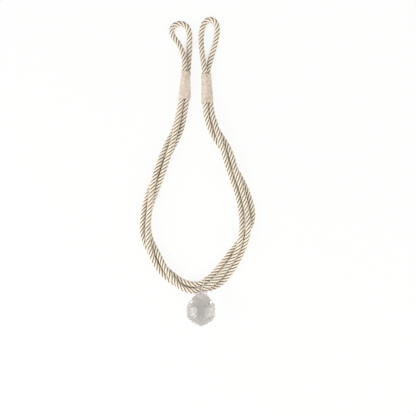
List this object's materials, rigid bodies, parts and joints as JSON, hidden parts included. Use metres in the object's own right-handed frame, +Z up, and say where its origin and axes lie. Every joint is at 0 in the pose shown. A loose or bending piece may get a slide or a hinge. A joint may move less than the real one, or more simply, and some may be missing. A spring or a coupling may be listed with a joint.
{
  "type": "curtain tieback",
  "caption": "Twisted satin rope curtain tieback: a doubled rope bent into a long U, a hook loop and thread whipping at each end, and a cut crystal ball hitched at its lowest point.",
  "frame": {"origin": "centre of the tieback's plan, on the surface that it lies on", "axes": "+Y along the tieback from the ball to the hook loops, +X to the right seen from above, +Z up from the surface"},
  "size_m": [0.1368, 0.3627, 0.0326],
  "materials": {
    "satin_rope": "satin laid yarn",
    "whipping_thread": "closely wound thread",
    "hanging_thread": "smooth thread",
    "crystal": "cut and polished"
  },
  "bodies": {
    "root": {"twisted_cord": "satin_rope", "left_whipping": "whipping_thread", "right_whipping": "whipping_thread", "hanging_thread": "hanging_thread", "crystal_ball": "crystal"}
  },
  "joints": []
}
